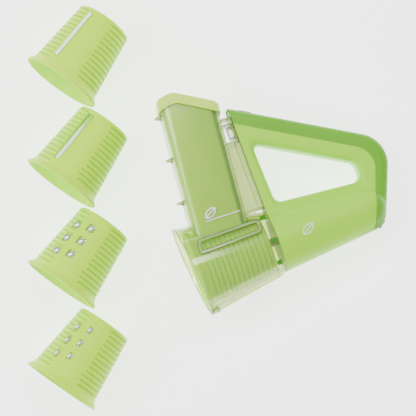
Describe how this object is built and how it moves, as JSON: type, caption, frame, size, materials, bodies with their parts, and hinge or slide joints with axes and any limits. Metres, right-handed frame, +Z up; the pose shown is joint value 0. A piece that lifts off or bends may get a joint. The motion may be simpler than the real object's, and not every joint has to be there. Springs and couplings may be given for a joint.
{
  "type": "cordless drum slicer",
  "caption": "Hand-held cordless drum slicer lying on its side, with clear housing, feed chute, pusher, grip with finger hole, and loose slicing and grating drums.",
  "frame": {"origin": "centre of the bounding box, on the table", "axes": "+Z up from the table the slicer lies on; +X along the drum's axis from its mouth towards the handle; +Y up the feed chute"},
  "size_m": [0.4238, 0.3994, 0.0946],
  "materials": {
    "shell_green": "satin moulded",
    "spine_green": "satin moulded",
    "clear_green": "clear green-tinted plastic",
    "pusher_green": "translucent, polished",
    "cap_green": "translucent, polished",
    "drum_green": "moulded",
    "blade_steel": "ground",
    "steel": "bright",
    "brass": "machined",
    "nylon": "moulded",
    "black_plastic": "moulded",
    "soft_black": "soft",
    "button_grey": "moulded",
    "board": "lacquered",
    "cell_wrap": "shrink wrap"
  },
  "bodies": {
    "handle": {"handle_shell_upper": "shell_green", "handle_shell_lower": "shell_green", "handle_spine": "spine_green", "shell_screw_1": "steel", "shell_screw_2": "steel", "shell_screw_3": "steel", "shell_screw_4": "steel", "front_plate": "spine_green", "gearbox_ring_gear": "nylon", "gearbox_cover": "nylon", "spindle_bearing": "brass", "motor_can": "steel", "motor_end_cap": "black_plastic", "battery_cell": "cell_wrap", "battery_cradle": "black_plastic", "micro_switch": "black_plastic", "control_board": "board", "motor_driver_chip": "black_plastic", "charging_socket": "steel", "steel_catch": "steel"},
    "power_button": {"power_button": "button_grey"},
    "port_plug": {"port_plug": "soft_black"},
    "motor_rotor": {"sun_pinion": "brass"},
    "spindle": {"spindle_and_carrier": "steel"},
    "planet_1": {"planet_gear_1": "nylon"},
    "planet_2": {"planet_gear_2": "nylon"},
    "planet_3": {"planet_gear_3": "nylon"},
    "working_drum": {"working_drum": "drum_green", "working_drum_blade_1": "blade_steel", "working_drum_blade_2": "blade_steel"},
    "housing": {"drum_housing": "clear_green", "feed_chute": "clear_green"},
    "pusher": {"pusher_body": "pusher_green", "pusher_cap": "cap_green"},
    "thin_slicing_drum": {"thin_slicing_drum": "drum_green", "thin_slicing_drum_blade_1": "blade_steel", "thin_slicing_drum_blade_2": "blade_steel"},
    "thick_slicing_drum": {"thick_slicing_drum": "drum_green", "thick_slicing_drum_blade_1": "blade_steel", "thick_slicing_drum_blade_2": "blade_steel"},
    "coarse_grating_drum": {"coarse_grating_drum": "drum_green", "coarse_grating_drum_plate_1": "blade_steel", "coarse_grating_drum_plate_2": "blade_steel"},
    "fine_grating_drum": {"fine_grating_drum": "drum_green", "fine_grating_drum_plate_1": "blade_steel", "fine_grating_drum_plate_2": "blade_steel"}
  },
  "joints": [
    {"name": "drum_spin", "type": "hinge", "parent": "handle", "child": "spindle", "pos_m": [0.07349, -0.09977, 0.03894], "axis": [0.9958, 0, -0.0911], "continuous": true},
    {"name": "motor_spin", "type": "hinge", "parent": "handle", "child": "motor_rotor", "pos_m": [0.09241, -0.09977, 0.03721], "axis": [0.9958, 0, -0.0911], "continuous": true},
    {"name": "planet_1_spin", "type": "hinge", "parent": "spindle", "child": "planet_1", "pos_m": [0.09234, -0.08765, 0.03646], "axis": [0.9958, 0, -0.0911], "continuous": true},
    {"name": "planet_2_spin", "type": "hinge", "parent": "spindle", "child": "planet_2", "pos_m": [0.0934, -0.10519, 0.04804], "axis": [0.9958, 0, -0.0911], "continuous": true},
    {"name": "planet_3_spin", "type": "hinge", "parent": "spindle", "child": "planet_3", "pos_m": [0.09149, -0.10649, 0.02713], "axis": [0.9958, 0, -0.0911], "continuous": true},
    {"name": "drum_pull_off", "type": "slide", "parent": "spindle", "child": "working_drum", "axis": [-0.9958, 0, 0.0911], "range_m": [0, 0.045]},
    {"name": "housing_pull_off", "type": "slide", "parent": "handle", "child": "housing", "axis": [-0.9958, 0, 0.0911], "range_m": [0, 0.008]},
    {"name": "pusher_slide", "type": "slide", "parent": "housing", "child": "pusher", "axis": [0.0881, 0.9937, -0.0698], "range_m": [0, 0.12]},
    {"name": "power_button_press", "type": "slide", "parent": "handle", "child": "power_button", "axis": [-0.5006, -0.86, 0.0992], "range_m": [0, 0.0014], "stiffness_N_per_m": 600, "springref_m": -0.001},
    {"name": "port_plug_pull", "type": "slide", "parent": "handle", "child": "port_plug", "axis": [0.5758, -0.8176, -0.0019], "range_m": [0, 0.006]},
    {"name": "thin_slicing_drum_lift", "type": "slide", "parent": "handle", "child": "thin_slicing_drum", "axis": [0, 0, 1], "range_m": [0, 0.08]},
    {"name": "thick_slicing_drum_lift", "type": "slide", "parent": "handle", "child": "thick_slicing_drum", "axis": [0, 0, 1], "range_m": [0, 0.08]},
    {"name": "coarse_grating_drum_lift", "type": "slide", "parent": "handle", "child": "coarse_grating_drum", "axis": [0, 0, 1], "range_m": [0, 0.08]},
    {"name": "fine_grating_drum_lift", "type": "slide", "parent": "handle", "child": "fine_grating_drum", "axis": [0, 0, 1], "range_m": [0, 0.08]}
  ],
  "couplings": [
    {"joint": "motor_spin", "follows": "drum_spin", "ratio": 4.5},
    {"joint": "planet_1_spin", "follows": "drum_spin", "ratio": -2.8},
    {"joint": "planet_2_spin", "follows": "drum_spin", "ratio": -2.8},
    {"joint": "planet_3_spin", "follows": "drum_spin", "ratio": -2.8}
  ]
}
